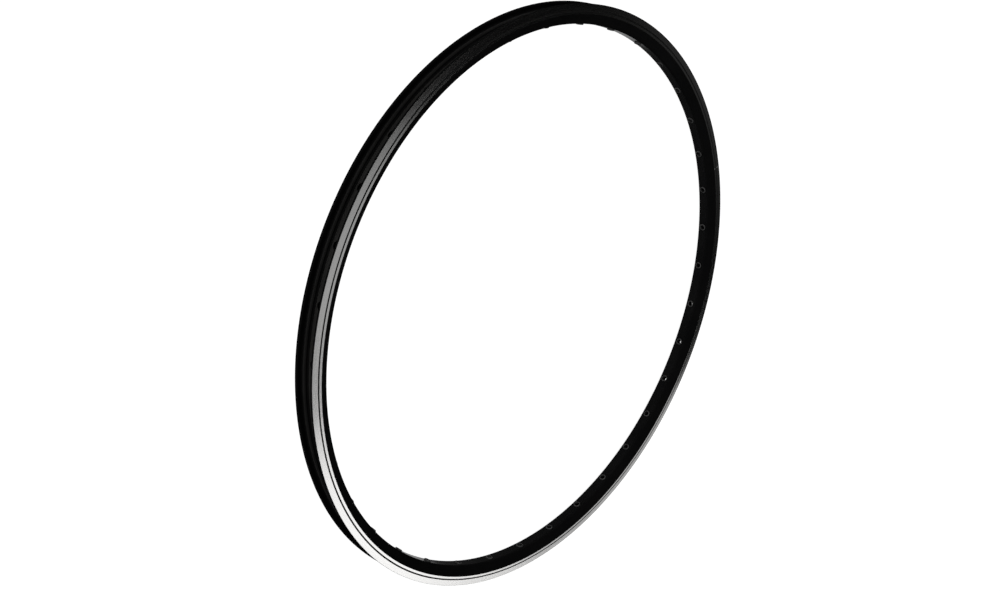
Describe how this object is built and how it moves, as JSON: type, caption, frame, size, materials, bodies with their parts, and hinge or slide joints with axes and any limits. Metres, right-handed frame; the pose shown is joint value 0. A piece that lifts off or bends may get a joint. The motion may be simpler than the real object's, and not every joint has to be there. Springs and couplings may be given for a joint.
{
  "type": "bicycle rim",
  "caption": "Double-wall bicycle rim for rim brakes: a round black box-section hoop with a hooked tyre channel, bare machined brake tracks with a wear groove, spoke eyelets and a valve hole.",
  "frame": {"origin": "wheel centre, in the rim's middle plane; the rim lies flat, on its lower brake track", "axes": "+Z along the wheel's axis, upwards; +X from the wheel's centre out through the valve hole"},
  "size_m": [0.634, 0.634, 0.0242],
  "materials": {
    "anodised_alloy": "satin black anodised, with the two brake tracks machined to bare silver metal",
    "eyelet_steel": "dark plated, smooth",
    "sleeve_alloy": "as extruded"
  },
  "bodies": {
    "root": {"rim_hoop": "anodised_alloy", "spoke_eyelets": "eyelet_steel", "joint_sleeve": "sleeve_alloy"}
  },
  "joints": []
}
